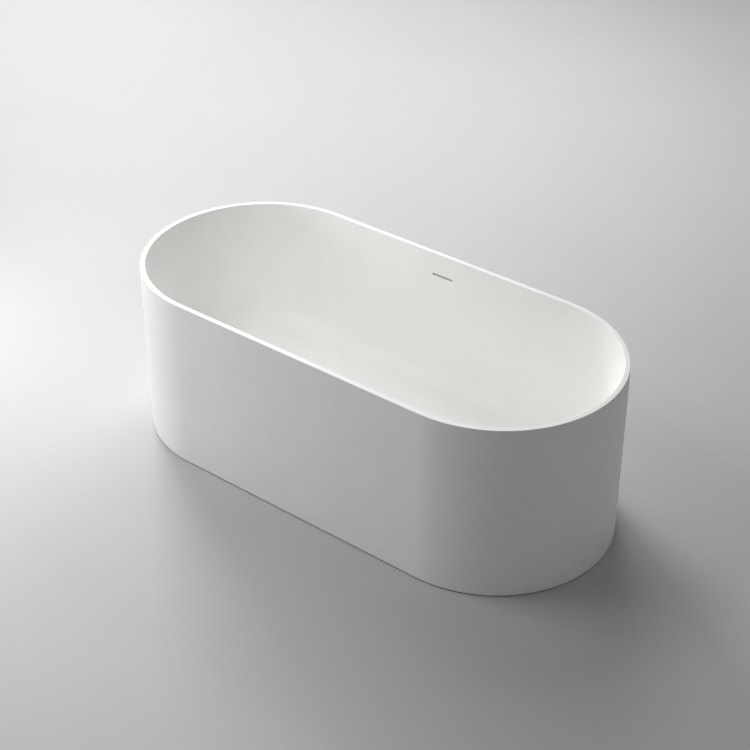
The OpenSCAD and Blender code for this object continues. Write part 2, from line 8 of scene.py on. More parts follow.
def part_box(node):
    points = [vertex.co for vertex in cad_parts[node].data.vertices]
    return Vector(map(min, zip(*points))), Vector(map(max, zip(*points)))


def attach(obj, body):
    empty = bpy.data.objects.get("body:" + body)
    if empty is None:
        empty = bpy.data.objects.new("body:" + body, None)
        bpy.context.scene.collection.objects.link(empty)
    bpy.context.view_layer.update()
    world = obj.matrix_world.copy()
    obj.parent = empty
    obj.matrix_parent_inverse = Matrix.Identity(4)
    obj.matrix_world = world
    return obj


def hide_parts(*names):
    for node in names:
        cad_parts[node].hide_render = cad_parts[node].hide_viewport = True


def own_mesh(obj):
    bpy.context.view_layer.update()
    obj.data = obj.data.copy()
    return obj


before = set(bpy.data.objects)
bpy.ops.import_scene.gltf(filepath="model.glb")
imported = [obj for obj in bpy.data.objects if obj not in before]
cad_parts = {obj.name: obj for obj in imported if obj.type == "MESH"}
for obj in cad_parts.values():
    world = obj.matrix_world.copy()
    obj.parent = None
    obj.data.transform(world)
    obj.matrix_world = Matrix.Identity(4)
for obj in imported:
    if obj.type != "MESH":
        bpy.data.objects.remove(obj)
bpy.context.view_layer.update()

# --- Basin -----------------------------------------------------------------------------------
# The inner bowl is one casting of mineral-filled resin, white right through, sanded to a satin
# and glued into the skirt. It is swept round the tub from one section, then the waste recess and
# the overflow slot are machined into it, which is how the real blank is finished.

rim_width = 0.016
rim_band = 0.014
edge_radius = 0.002
wall_lean = math.radians(15)
wall_thickness = 0.009
bath_depth = 0.385
floor_radius = 0.080
end_steps = 96

skirt_low, skirt_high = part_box("skirt")
basin_low, basin_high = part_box("basin")
end_radius = skirt_high.y
middle_half = skirt_high.x - end_radius
rim_z = basin_high.z
floor_z = rim_z - bath_depth
under_z = floor_z - wall_thickness


def wall_at(z):
    """Distance of the bowl's inner face from the tub's middle plane at height z."""
    return end_radius - rim_width - (rim_z - z) * math.tan(wall_lean)


def arc(centre, radius, start, stop, steps):
    """Points of an arc, angles in radians from the across axis, both ends included."""
    points = []
    for step in range(steps + 1):
        angle = start + (stop - start) * step / steps
        points.append((centre[0] + radius * math.cos(angle), centre[1] + radius * math.sin(angle)))
    return points


def add_node(tree, kind, inputs=None, **settings):
    """Adds a node: settings are its own properties, inputs are values or sockets to link from."""
    made = tree.nodes.new(kind)
    for name, value in settings.items():
        setattr(made, name, value)
    for key, value in (inputs or {}).items():
        if isinstance(value, bpy.types.NodeSocket):
            tree.links.new(value, made.inputs[key])
        else:
            made.inputs[key].default_value = value
    return made


def new_tree(name, numbers):
    """A geometry tree with its named inputs: returns the tree, its input node and its output node."""
    tree = bpy.data.node_groups.new(name, "GeometryNodeTree")
    tree.interface.new_socket("Geometry", in_out="INPUT", socket_type="NodeSocketGeometry")
    for number in numbers:
        tree.interface.new_socket(number, in_out="INPUT", socket_type="NodeSocketFloat")
    tree.interface.new_socket("Geometry", in_out="OUTPUT", socket_type="NodeSocketGeometry")
    return tree, tree.nodes.new("NodeGroupInput"), tree.nodes.new("NodeGroupOutput")


def finish_tree(tree, end, geometry, material):
    """Ends a tree in plain geometry that carries its material."""
    real = add_node(tree, "GeometryNodeRealizeInstances", {"Geometry": geometry})
    painted = add_node(tree, "GeometryNodeSetMaterial", {
        "Geometry": real.outputs[0], "Material": material})
    tree.links.new(painted.outputs[0], end.inputs[0])


def link(name, mesh):
    piece = bpy.data.objects.new(name, mesh)
    bpy.context.scene.collection.objects.link(piece)
    return piece


def bake(host, name):
    """Turns a host object and its modifiers into one plain mesh object, and removes the host."""
    graph = bpy.context.evaluated_depsgraph_get()
    mesh = bpy.data.meshes.new_from_object(host.evaluated_get(graph), depsgraph=graph)
    host.modifiers.clear()
    bpy.data.objects.remove(host)
    mesh.name = name
    return link(name, mesh)


def grow(name, points, edges, tree, values):
    """Runs a geometry tree on a host of points and edges, with the tree's named inputs set."""
    mesh = bpy.data.meshes.new(name + "_host")
    mesh.from_pydata(points, edges, [])
    host = link(name + "_host", mesh)
    modifier = host.modifiers.new("build", "NODES")
    modifier.node_group = tree
    for item in tree.interface.items_tree:
        if item.in_out == "INPUT" and item.name in values:
            modifier[item.identifier] = values[item.name]
    return bake(host, name)


def close_up(piece, sharp=35):
    """Merges doubles, closes open ends, turns faces outwards and keeps edges over the angle crisp."""
    mesh = piece.data
    shell = bmesh.new()
    shell.from_mesh(mesh)
    bmesh.ops.remove_doubles(shell, verts=shell.verts, dist=1e-6)
    bmesh.ops.holes_fill(shell, edges=[e for e in shell.edges if e.is_boundary], sides=0)
    bmesh.ops.recalc_face_normals(shell, faces=shell.faces)
    shell.to_mesh(mesh)
    shell.free()
    mesh.shade_smooth()
    mesh.set_sharp_from_angle(angle=math.radians(sharp))
    return piece


def even_shading(piece):
    """Lets the large flat and long faces set the shading where they run into small round ones."""
    weighted = piece.modifiers.new("weighted", "WEIGHTED_NORMAL")
    weighted.keep_sharp = True
    return bake(piece, piece.name)


def turned(name, profile, steps=96, place=Matrix.Identity(4)):
    """A closed turning round Z from (radius, height) points given from the axis or a bore outwards."""
    points = []
    faces = []
    count = len(profile)
    for step in range(steps):
        angle = 2 * math.pi * step / steps
        for radius, height in profile:
            points.append(place @ Vector((radius * math.cos(angle), radius * math.sin(angle), height)))
        after = (step + 1) % steps
        for i in range(count):
            j = (i + 1) % count
            if profile[i][0] > 0 or profile[j][0] > 0:
                faces.append((step * count + i, after * count + i, after * count + j, step * count + j))
    mesh = bpy.data.meshes.new(name)
    mesh.from_pydata(points, [], faces)
    piece = link(name, mesh)
    shell = bmesh.new()
    shell.from_mesh(mesh)
    bmesh.ops.remove_doubles(shell, verts=shell.verts, dist=1e-6)
    bmesh.ops.dissolve_degenerate(shell, edges=shell.edges, dist=1e-7)
    bmesh.ops.recalc_face_normals(shell, faces=shell.faces)
    shell.to_mesh(mesh)
    shell.free()
    return close_up(piece)


def cut_away(piece, *tools):
    """Cuts closed tools out of a closed piece."""
    for tool in tools:
        cutter = piece.modifiers.new("cut", "BOOLEAN")
        cutter.operation = "DIFFERENCE"
        cutter.solver = "EXACT"
        cutter.object = tool
    done = bake(piece, piece.name)
    for tool in tools:
        bpy.data.objects.remove(tool)
    return done


def colour(hex_code):
    """An sRGB hex colour as the linear colour that a shader socket takes."""
    channels = [int(hex_code[i:i + 2], 16) / 255 for i in (1, 3, 5)]
    return [c / 12.92 if c <= 0.04045 else ((c + 0.055) / 1.055) ** 2.4 for c in channels] + [1]


def start_material(name):
    """A new material: returns it, its tree, its surface shader and the Object coordinates."""
    material = bpy.data.materials.new(name)
    material.use_nodes = True
    tree = material.node_tree
    place = add_node(tree, "ShaderNodeTexCoord").outputs["Object"]
    return material, tree, tree.nodes["Principled BSDF"], place


# Cast mineral resin, sanded: a dense white with a barely clouded body and a satin that varies a
# little where the sanding pad has worked. The 0.3 mm grain is drawn at 0.8 mm so that it shows.
cast_resin, tree, surface, place = start_material("cast_mineral_resin")
clouds = add_node(tree, "ShaderNodeTexNoise", {"Vector": place, "Scale": 1 / 0.12, "Detail": 3.0})
resin_tint = add_node(tree, "ShaderNodeValToRGB", {"Fac": clouds.outputs["Fac"]})
resin_tint.color_ramp.elements[0].position = 0.35
resin_tint.color_ramp.elements[0].color = colour("#F5F5F3")
resin_tint.color_ramp.elements[1].position = 0.65
resin_tint.color_ramp.elements[1].color = colour("#F7F7F5")
grain = add_node(tree, "ShaderNodeTexNoise", {"Vector": place, "Scale": 1 / 0.0008, "Detail": 2.0})
pad_marks = add_node(tree, "ShaderNodeTexNoise", {"Vector": place, "Scale": 1 / 0.03, "Detail": 4.0})
satin = add_node(tree, "ShaderNodeMapRange", {
    "Value": pad_marks.outputs["Fac"], "To Min": 0.40, "To Max": 0.52})
relief = add_node(tree, "ShaderNodeBump", {
    "Height": grain.outputs["Fac"], "Strength": 0.25, "Distance": 0.00004})
tree.links.new(resin_tint.outputs["Color"], surface.inputs["Base Color"])
tree.links.new(satin.outputs["Result"], surface.inputs["Roughness"])
tree.links.new(relief.outputs["Normal"], surface.inputs["Normal"])
surface.inputs["IOR"].default_value = 1.5

# The sweep: a section drawn across (X) and up (Z) is carried once round a path of two half
# circles and two straights, whose points follow from their own number along the path.
sweep, start, end = new_tree("round_the_tub", ["Middle Half", "End Radius", "End Steps"])
middle, radius, steps = [start.outputs[key] for key in ("Middle Half", "End Radius", "End Steps")]
per_end = add_node(sweep, "ShaderNodeMath", {0: steps, 1: 1.0}, operation="ADD")
total = add_node(sweep, "ShaderNodeMath", {0: per_end.outputs[0], 1: 2.0}, operation="MULTIPLY")
loop = add_node(sweep, "GeometryNodeCurvePrimitiveCircle", {
    "Resolution": total.outputs[0]}, mode="RADIUS")
index = add_node(sweep, "GeometryNodeInputIndex")
share = add_node(sweep, "ShaderNodeMath", {
    0: index.outputs[0], 1: per_end.outputs[0]}, operation="DIVIDE")
far_end = add_node(sweep, "ShaderNodeMath", {0: share.outputs[0]}, operation="FLOOR")
step = add_node(sweep, "ShaderNodeMath", {
    0: index.outputs[0], 1: per_end.outputs[0]}, operation="FLOORED_MODULO")
turn = add_node(sweep, "ShaderNodeMath", {0: step.outputs[0], 1: steps}, operation="DIVIDE")
offset = add_node(sweep, "ShaderNodeMath", {0: turn.outputs[0], 1: far_end.outputs[0]}, operation="ADD")
angle = add_node(sweep, "ShaderNodeMath", {
    0: offset.outputs[0], 1: math.pi, 2: -math.pi / 2}, operation="MULTIPLY_ADD")
cosine = add_node(sweep, "ShaderNodeMath", {0: angle.outputs[0]}, operation="COSINE")
sine = add_node(sweep, "ShaderNodeMath", {0: angle.outputs[0]}, operation="SINE")
side = add_node(sweep, "ShaderNodeMath", {
    0: far_end.outputs[0], 1: -2.0, 2: 1.0}, operation="MULTIPLY_ADD")
shift = add_node(sweep, "ShaderNodeMath", {0: side.outputs[0], 1: middle}, operation="MULTIPLY")
along = add_node(sweep, "ShaderNodeMath", {
    0: cosine.outputs[0], 1: radius, 2: shift.outputs[0]}, operation="MULTIPLY_ADD")
across = add_node(sweep, "ShaderNodeMath", {0: sine.outputs[0], 1: radius}, operation="MULTIPLY")
spot = add_node(sweep, "ShaderNodeCombineXYZ", {"X": along.outputs[0], "Y": across.outputs[0]})
path = add_node(sweep, "GeometryNodeSetPosition", {
    "Geometry": loop.outputs["Curve"], "Position": spot.outputs[0]})
upright = add_node(sweep, "GeometryNodeSetCurveNormal", {"Curve": path.outputs[0]}, mode="Z_UP")
drawn_place = add_node(sweep, "GeometryNodeInputPosition")
drawn = add_node(sweep, "ShaderNodeSeparateXYZ", {0: drawn_place.outputs[0]})
out = add_node(sweep, "ShaderNodeMath", {0: drawn.outputs["X"], 1: radius}, operation="SUBTRACT")
down = add_node(sweep, "ShaderNodeMath", {0: drawn.outputs["Z"], 1: -1.0}, operation="MULTIPLY")
flat = add_node(sweep, "ShaderNodeCombineXYZ", {"X": out.outputs[0], "Y": down.outputs[0]})
laid = add_node(sweep, "GeometryNodeSetPosition", {
    "Geometry": start.outputs["Geometry"], "Position": flat.outputs[0]})
section = add_node(sweep, "GeometryNodeMeshToCurve", {"Mesh": laid.outputs[0]})
shell = add_node(sweep, "GeometryNodeCurveToMesh", {
    "Curve": upright.outputs[0], "Profile Curve": section.outputs[0]})
finish_tree(sweep, end, shell.outputs[0], cast_resin)


def swept(name, profile, closed):
    """Carries an (across, up) profile round the tub as one closed casting."""
    points = [(x, 0, z) for x, z in profile]
    edges = [(i, i + 1) for i in range(len(points) - 1)]
    if closed:
        edges.append((len(points) - 1, 0))
    sizes = {"Middle Half": middle_half, "End Radius": end_radius, "End Steps": float(end_steps)}
    return close_up(grow(name, points, edges, sweep, sizes))


fillet_z = floor_z + floor_radius
fillet_x = wall_at(fillet_z) - floor_radius / math.cos(wall_lean)
lip_x = wall_at(rim_z - edge_radius) + edge_radius / math.cos(wall_lean)
edge_z = rim_z - edge_radius
band_z = rim_z - rim_band
bowl_profile = arc((fillet_x, fillet_z), floor_radius, -math.pi / 2, -wall_lean, 20)
bowl_profile += arc((lip_x, edge_z), edge_radius, math.pi - wall_lean, math.pi / 2, 6)
bowl_profile += arc((end_radius - edge_radius, edge_z), edge_radius, math.pi / 2, 0, 6)
bowl_profile += [(end_radius, band_z), (wall_at(band_z) + wall_thickness / math.cos(wall_lean), band_z)]
bowl_profile += arc((fillet_x, fillet_z), floor_radius + wall_thickness, -wall_lean, -math.pi / 2, 12)
basin = swept("basin_casting", bowl_profile, False)

# Waste recess: a dish that falls 3 mm to the flange's seat, the hole through a thickened boss.
dish_radius = 0.090
dish_drop = 0.003
seat_gap = 0.001
seat_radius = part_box("waste_body")[1].x + seat_gap
seat_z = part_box("flange_washer")[0].z
hole_radius = 0.0255
boss_radius = 0.060
boss_z = basin_low.z
spare = 0.002
boss_top = under_z + wall_thickness / 2
boss = turned("boss", [(0, boss_z), (boss_radius, boss_z), (boss_radius, boss_top), (0, boss_top)])
joined = basin.modifiers.new("boss", "BOOLEAN")
joined.operation = "UNION"
joined.solver = "EXACT"
joined.object = boss
basin = bake(basin, "basin_casting")
bpy.data.objects.remove(boss)
slope = (dish_radius - seat_radius) / dish_drop
recess = turned("recess", [
    (0, boss_z - spare), (hole_radius, boss_z - spare), (hole_radius, seat_z), (seat_radius, seat_z),
    (seat_radius, floor_z - dish_drop), (dish_radius + slope * spare, floor_z + spare), (0, floor_z + spare)])

# Overflow slot, a straight mill cut with round ends on the long side opposite the bather's view.
slot_length = 0.078
slot_height = 0.006
slot_drop = 0.063
slot_z = rim_z - slot_drop
slot_half = (slot_length - slot_height) / 2
slot_outline = arc((slot_half, slot_z), slot_height / 2, -math.pi / 2, math.pi / 2, 12)
slot_outline += arc((-slot_half, slot_z), slot_height / 2, math.pi / 2, 3 * math.pi / 2, 12)
near = wall_at(slot_z) - wall_thickness
mill = bmesh.new()
ring = [mill.verts.new((x, near, z)) for x, z in slot_outline]
face = mill.faces.new(ring)
pushed = bmesh.ops.extrude_face_region(mill, geom=[face])
far_side = [v for v in pushed["geom"] if isinstance(v, bmesh.types.BMVert)]
bmesh.ops.translate(mill, vec=(0, 3 * wall_thickness, 0), verts=far_side)
bmesh.ops.recalc_face_normals(mill, faces=mill.faces)
slot_mesh = bpy.data.meshes.new("slot_tool")
mill.to_mesh(slot_mesh)
mill.free()
basin = cut_away(basin, recess, link("slot_tool", slot_mesh))
basin = even_shading(close_up(basin))
basin.data.materials.clear()
basin.data.materials.append(cast_resin)
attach(basin, "tub")
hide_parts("basin")

# --- Skirt -----------------------------------------------------------------------------------
# The outer wall is a second casting of the same resin, an upright band glued up under the basin's
# rim, where the joint is filled and sanded away. Its foot has a small chamfer and clears the floor.

skirt_thickness = 0.008
skirt_chamfer = 0.0015
skirt_inner = end_radius - skirt_thickness
skirt = swept("skirt_casting", [
    (skirt_inner, skirt_low.z), (end_radius - skirt_chamfer, skirt_low.z),
    (end_radius, skirt_low.z + skirt_chamfer), (end_radius, skirt_high.z), (skirt_inner, skirt_high.z)], True)
skirt = even_shading(skirt)
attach(skirt, "tub")
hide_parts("skirt")

# --- Base board ------------------------------------------------------------------------------
# An 18 mm birch plywood board, routed to an oval with a round hole for the waste and bonded under
# the basin. Its faces show rotary-cut veneer running along the tub, its edges show thirteen plies.

ply_pitch = 0.0014


def repaint(node, material):
    """Gives a carried-over node its finished material."""
    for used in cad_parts[node].material_slots:
        used.material = material


# Birch plywood: streaks drawn out along the grain on the faces, and on the cut edge alternating
# light and dark layers 1.4 mm thick. The face or the edge is chosen by how level the surface is.
birch_ply, tree, surface, place = start_material("birch_plywood")
grain_run = add_node(tree, "ShaderNodeMapping", {"Vector": place, "Scale": (4, 60, 60)})
veneer = add_node(tree, "ShaderNodeTexNoise", {
    "Vector": grain_run.outputs[0], "Scale": 3.0, "Detail": 6.0, "Distortion": 0.6})
face_spread = add_node(tree, "ShaderNodeMapRange", {
    "Value": veneer.outputs["Fac"], "From Min": 0.3, "From Max": 0.7})
face_tint = add_node(tree, "ShaderNodeMix", {
    0: face_spread.outputs["Result"], 6: colour("#B58A5C"), 7: colour("#D9B98C")}, data_type="RGBA")
heights = add_node(tree, "ShaderNodeSeparateXYZ", {0: place})
layer = add_node(tree, "ShaderNodeMath", {0: heights.outputs["Z"], 1: ply_pitch}, operation="PINGPONG")
layer_share = add_node(tree, "ShaderNodeMath", {0: layer.outputs[0], 1: ply_pitch}, operation="DIVIDE")
edge_spread = add_node(tree, "ShaderNodeMapRange", {
    "Value": layer_share.outputs[0], "From Min": 0.42, "From Max": 0.58})
edge_tint = add_node(tree, "ShaderNodeMix", {
    0: edge_spread.outputs["Result"], 6: colour("#8A5F38"), 7: colour("#CBA879")}, data_type="RGBA")
outward = add_node(tree, "ShaderNodeNewGeometry")
facing = add_node(tree, "ShaderNodeSeparateXYZ", {0: outward.outputs["Normal"]})
level = add_node(tree, "ShaderNodeMath", {0: facing.outputs["Z"]}, operation="ABSOLUTE")
board_tint = add_node(tree, "ShaderNodeMix", {
    0: level.outputs[0], 6: edge_tint.outputs[2], 7: face_tint.outputs[2]}, data_type="RGBA")
fibre = add_node(tree, "ShaderNodeBump", {
    "Height": veneer.outputs["Fac"], "Strength": 0.4, "Distance": 0.0003})
tree.links.new(board_tint.outputs[2], surface.inputs["Base Color"])
tree.links.new(fibre.outputs["Normal"], surface.inputs["Normal"])
surface.inputs["Roughness"].default_value = 0.62
repaint("base_board", birch_ply)

# --- Frame bars ------------------------------------------------------------------------------
# Two crossbars of 30 mm square tube and two flatter rails carry the board. They are welded steel
# tube, cut to length, drilled, and powder coated grey together with the sleeves for the feet.

# Powder coat: a flat mid grey with a fine orange peel about 1.8 mm across that breaks up its sheen.
powder_coat, tree, surface, place = start_material("grey_powder_coat")
peel = add_node(tree, "ShaderNodeTexNoise", {"Vector": place, "Scale": 1 / 0.0018, "Detail": 2.0})
drift = add_node(tree, "ShaderNodeTexNoise", {"Vector": place, "Scale": 1 / 0.09, "Detail": 3.0})
coat_gloss = add_node(tree, "ShaderNodeMapRange", {
    "Value": peel.outputs["Fac"], "To Min": 0.42, "To Max": 0.58})
orange_peel = add_node(tree, "ShaderNodeBump", {
    "Height": peel.outputs["Fac"], "Strength": 0.35, "Distance": 0.0001})
coat_spread = add_node(tree, "ShaderNodeMapRange", {
    "Value": drift.outputs["Fac"], "From Min": 0.3, "From Max": 0.7})
coat_tint = add_node(tree, "ShaderNodeMix", {
    0: coat_spread.outputs["Result"], 6: colour("#84878A"), 7: colour("#93969A")}, data_type="RGBA")
tree.links.new(coat_tint.outputs[2], surface.inputs["Base Color"])
tree.links.new(coat_gloss.outputs["Result"], surface.inputs["Roughness"])
tree.links.new(orange_peel.outputs["Normal"], surface.inputs["Normal"])
for node in ("rail_front", "rail_back", "crossbar_left", "crossbar_right", "foot_sleeves"):
    repaint(node, powder_coat)

# --- Bar end caps ----------------------------------------------------------------------------
# Push-in caps moulded in black polyethylene close the open ends of the crossbars. They cover the
# sawn edges and keep damp out of the tubes.

# Black polyethylene: nearly black with a grey bloom, its mould eroded to a 0.9 mm texture. The same
# plastic serves the foot pads, the waste's back nut and the hose nuts.
black_plastic, tree, surface, place = start_material("moulded_black_polyethylene")
sparks = add_node(tree, "ShaderNodeTexVoronoi", {"Vector": place, "Scale": 1 / 0.0009})
bloom = add_node(tree, "ShaderNodeTexNoise", {"Vector": place, "Scale": 1 / 0.02, "Detail": 3.0})
black_gloss = add_node(tree, "ShaderNodeMapRange", {
    "Value": bloom.outputs["Fac"], "To Min": 0.45, "To Max": 0.62})
eroded = add_node(tree, "ShaderNodeBump", {
    "Height": sparks.outputs["Distance"], "Strength": 0.3, "Distance": 0.0001})
black_spread = add_node(tree, "ShaderNodeMapRange", {
    "Value": bloom.outputs["Fac"], "From Min": 0.3, "From Max": 0.7})
black_tint = add_node(tree, "ShaderNodeMix", {
    0: black_spread.outputs["Result"], 6: colour("#222326"), 7: colour("#34363A")}, data_type="RGBA")
tree.links.new(black_tint.outputs[2], surface.inputs["Base Color"])
tree.links.new(black_gloss.outputs["Result"], surface.inputs["Roughness"])
tree.links.new(eroded.outputs["Normal"], surface.inputs["Normal"])
for node in ("bar_end_caps", "back_nut"):
    repaint(node, black_plastic)

# --- Board screws ----------------------------------------------------------------------------
# Twelve zinc-plated pan-head screws hold the bars up to the board, eight through the rails and four
# through the crossbars. Each is cold headed with a cross recess.

# Zinc plate: a soft, slightly blue metal with a faint 3 mm spangle and rubbed patches.
zinc_plate, tree, surface, place = start_material("zinc_plated_steel")
spangle = add_node(tree, "ShaderNodeTexVoronoi", {"Vector": place, "Scale": 1 / 0.003})
rub = add_node(tree, "ShaderNodeTexNoise", {"Vector": place, "Scale": 1 / 0.006, "Detail": 5.0})
zinc_gloss = add_node(tree, "ShaderNodeMapRange", {
    "Value": rub.outputs["Fac"], "To Min": 0.28, "To Max": 0.48})
zinc_relief = add_node(tree, "ShaderNodeBump", {
    "Height": rub.outputs["Fac"], "Strength": 0.2, "Distance": 0.00005})
zinc_spread = add_node(tree, "ShaderNodeMapRange", {
    "Value": spangle.outputs["Distance"], "From Min": 0.1, "From Max": 0.8})
zinc_tint = add_node(tree, "ShaderNodeMix", {
    0: zinc_spread.outputs["Result"], 6: colour("#AEB3B8"), 7: colour("#CBCFD2")}, data_type="RGBA")
tree.links.new(zinc_tint.outputs[2], surface.inputs["Base Color"])
tree.links.new(zinc_gloss.outputs["Result"], surface.inputs["Roughness"])
tree.links.new(zinc_relief.outputs["Normal"], surface.inputs["Normal"])
surface.inputs["Metallic"].default_value = 1.0


def pan_head(name, head_radius, head_height, shank_radius, shank_length):
    """A domed head under z = 0 with a cross recess, and its pointed shank going up."""
    profile = [(head_radius * x, head_height * z) for x, z in arc((0, 0), 1, -math.pi / 2, 0, 6)]
    profile[0] = (0, -head_height)
    profile += [(shank_radius, 0), (shank_radius, shank_length - 2 * shank_radius), (0, shank_length)]
    screw = turned(name, profile, 20)
    bits = []
    for quarter in (0, 1):
        slot = bmesh.new()
        bmesh.ops.create_cube(slot, size=1)
        bmesh.ops.scale(slot, vec=(head_radius * 1.1, head_radius * 0.22, head_height), verts=slot.verts)
        bmesh.ops.rotate(slot, matrix=Matrix.Rotation(quarter * math.pi / 2, 3, "Z"), verts=slot.verts)
        bmesh.ops.translate(slot, vec=(0, 0, -head_height), verts=slot.verts)
        mesh = bpy.data.meshes.new("bit")
        slot.to_mesh(mesh)
        slot.free()
        bits.append(link("bit", mesh))
    return close_up(cut_away(screw, *bits))


def set_out(name, pattern, places, material, tilt=0.0):
    """Copies a finished pattern to every place, tilted about X, as one mesh; the pattern goes."""
    tree, start, end = new_tree(name + "_tree", ["Tilt"])
    single = add_node(tree, "GeometryNodeObjectInfo", {"Object": pattern})
    turning = add_node(tree, "ShaderNodeCombineXYZ", {"X": start.outputs["Tilt"]})
    copies = add_node(tree, "GeometryNodeInstanceOnPoints", {
        "Points": start.outputs["Geometry"], "Instance": single.outputs["Geometry"],
        "Rotation": turning.outputs[0]})
    finish_tree(tree, end, copies.outputs[0], material)
    piece = grow(name, places, [], tree, {"Tilt": tilt})
    bpy.data.objects.remove(pattern)
    return piece


screw_bite = 0.014
rail_low, rail_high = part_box("rail_back")
bar_low, bar_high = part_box("crossbar_right")
rail_y = (rail_low.y + rail_high.y) / 2
bar_x = (bar_low.x + bar_high.x) / 2
rail_spots = [
    (share * rail_high.x, y, rail_low.z) for share in (-0.8, -0.3, 0.3, 0.8) for y in (-rail_y, rail_y)]
bar_spots = [(x, y, bar_low.z) for x in (-bar_x, bar_x) for y in (-rail_y / 2, rail_y / 2)]
for name, places, tube in (
        ("rail_screws", rail_spots, rail_high.z - rail_low.z),
        ("bar_screws", bar_spots, bar_high.z - bar_low.z)):
    screw = pan_head(
        name + "_pattern", head_radius=0.0055, head_height=0.003, shank_radius=0.0025,
        shank_length=tube + screw_bite)
    screws = set_out(name, screw, places, zinc_plate)
    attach(screws, "tub")
    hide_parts("board_screws")

# --- Skirt brackets --------------------------------------------------------------------------
# Four folded 3 mm steel angles tie the crossbars out to the skirt, each with one hexagon bolt and
# nut. All of it is zinc plated.

for node in ("skirt_brackets", "bracket_bolts", "foot_locknuts"):
    repaint(node, zinc_plate)

# --- Feet ------------------------------------------------------------------------------------
# Each foot is an M12 levelling stud with a 1.75 mm thread that screws up through a welded sleeve
# and is jammed there by a locknut. It turns in a pad moulded in black plastic.

# The thread: rows of a sheet climb one pitch for every turn, so the sheet closes on itself one
# thread higher. Four rows make one thread, two at the crest and two at the root, and the flats of
# both and the place where the root begins are shares of one pitch.
rows_per_thread = 4.0
spare_rows = 8.0
crest_flat = 0.125
root_flat = 0.25
root_start = 0.4375
rounding = 0.000001
thread, start, end = new_tree("threaded_rod", ["Radius", "Depth", "Pitch", "Low", "High", "Sides"])
rod_radius, depth, pitch, low_end, high_end, sides = [
    start.outputs[key] for key in ("Radius", "Depth", "Pitch", "Low", "High", "Sides")]
span = add_node(thread, "ShaderNodeMath", {0: high_end, 1: low_end}, operation="SUBTRACT")
turns = add_node(thread, "ShaderNodeMath", {0: span.outputs[0], 1: pitch}, operation="DIVIDE")
whole_turns = add_node(thread, "ShaderNodeMath", {0: turns.outputs[0]}, operation="CEIL")
rows = add_node(thread, "ShaderNodeMath", {
    0: whole_turns.outputs[0], 1: rows_per_thread, 2: spare_rows}, operation="MULTIPLY_ADD")
columns = add_node(thread, "ShaderNodeMath", {0: sides, 1: 1.0}, operation="ADD")
sheet = add_node(thread, "GeometryNodeMeshGrid", {
    "Vertices X": columns.outputs[0], "Vertices Y": rows.outputs[0]})
number = add_node(thread, "GeometryNodeInputIndex")
column_share = add_node(thread, "ShaderNodeMath", {
    0: number.outputs[0], 1: rows.outputs[0]}, operation="DIVIDE")
column = add_node(thread, "ShaderNodeMath", {0: column_share.outputs[0]}, operation="FLOOR")
row = add_node(thread, "ShaderNodeMath", {
    0: number.outputs[0], 1: rows.outputs[0]}, operation="FLOORED_MODULO")
bearing = add_node(thread, "ShaderNodeMath", {0: column.outputs[0], 1: sides}, operation="DIVIDE")
started = add_node(thread, "ShaderNodeMath", {0: row.outputs[0], 1: rows_per_thread}, operation="DIVIDE")
threads = add_node(thread, "ShaderNodeMath", {0: started.outputs[0]}, operation="FLOOR")
quarter = add_node(thread, "ShaderNodeMath", {
    0: row.outputs[0], 1: rows_per_thread}, operation="FLOORED_MODULO")
half_way = add_node(thread, "ShaderNodeMath", {
    0: quarter.outputs[0], 1: rows_per_thread / 2}, operation="DIVIDE")
rooted = add_node(thread, "ShaderNodeMath", {0: half_way.outputs[0]}, operation="FLOOR")
second = add_node(thread, "ShaderNodeMath", {
    0: quarter.outputs[0], 1: rows_per_thread / 2}, operation="FLOORED_MODULO")
land = add_node(thread, "ShaderNodeMath", {
    0: rooted.outputs[0], 1: root_flat - crest_flat, 2: crest_flat}, operation="MULTIPLY_ADD")
landed = add_node(thread, "ShaderNodeMath", {
    0: second.outputs[0], 1: land.outputs[0]}, operation="MULTIPLY")
flanked = add_node(thread, "ShaderNodeMath", {
    0: rooted.outputs[0], 1: root_start, 2: landed.outputs[0]}, operation="MULTIPLY_ADD")
wound = add_node(thread, "ShaderNodeMath", {
    0: threads.outputs[0], 1: bearing.outputs[0]}, operation="ADD")
risen = add_node(thread, "ShaderNodeMath", {0: wound.outputs[0], 1: flanked.outputs[0]}, operation="ADD")
lowered = add_node(thread, "ShaderNodeMath", {0: risen.outputs[0], 1: 1.0}, operation="SUBTRACT")
free_height = add_node(thread, "ShaderNodeMath", {
    0: lowered.outputs[0], 1: pitch, 2: low_end}, operation="MULTIPLY_ADD")
height = add_node(thread, "ShaderNodeClamp", {
    "Value": free_height.outputs[0], "Min": low_end, "Max": high_end})
past_end = add_node(thread, "ShaderNodeMath", {
    0: height.outputs[0], 1: free_height.outputs[0]}, operation="SUBTRACT")
past_by = add_node(thread, "ShaderNodeMath", {0: past_end.outputs[0]}, operation="ABSOLUTE")
past = add_node(thread, "ShaderNodeMath", {0: past_by.outputs[0], 1: rounding}, operation="GREATER_THAN")
cut_in = add_node(thread, "ShaderNodeMath", {
    0: past.outputs[0], 1: rooted.outputs[0]}, operation="MAXIMUM")
sunk = add_node(thread, "ShaderNodeMath", {0: cut_in.outputs[0], 1: depth}, operation="MULTIPLY")
reach = add_node(thread, "ShaderNodeMath", {0: rod_radius, 1: sunk.outputs[0]}, operation="SUBTRACT")
swing = add_node(thread, "ShaderNodeMath", {0: bearing.outputs[0], 1: 2 * math.pi}, operation="MULTIPLY")
swing_x = add_node(thread, "ShaderNodeMath", {0: swing.outputs[0]}, operation="COSINE")
swing_y = add_node(thread, "ShaderNodeMath", {0: swing.outputs[0]}, operation="SINE")
rod_x = add_node(thread, "ShaderNodeMath", {
    0: swing_x.outputs[0], 1: reach.outputs[0]}, operation="MULTIPLY")
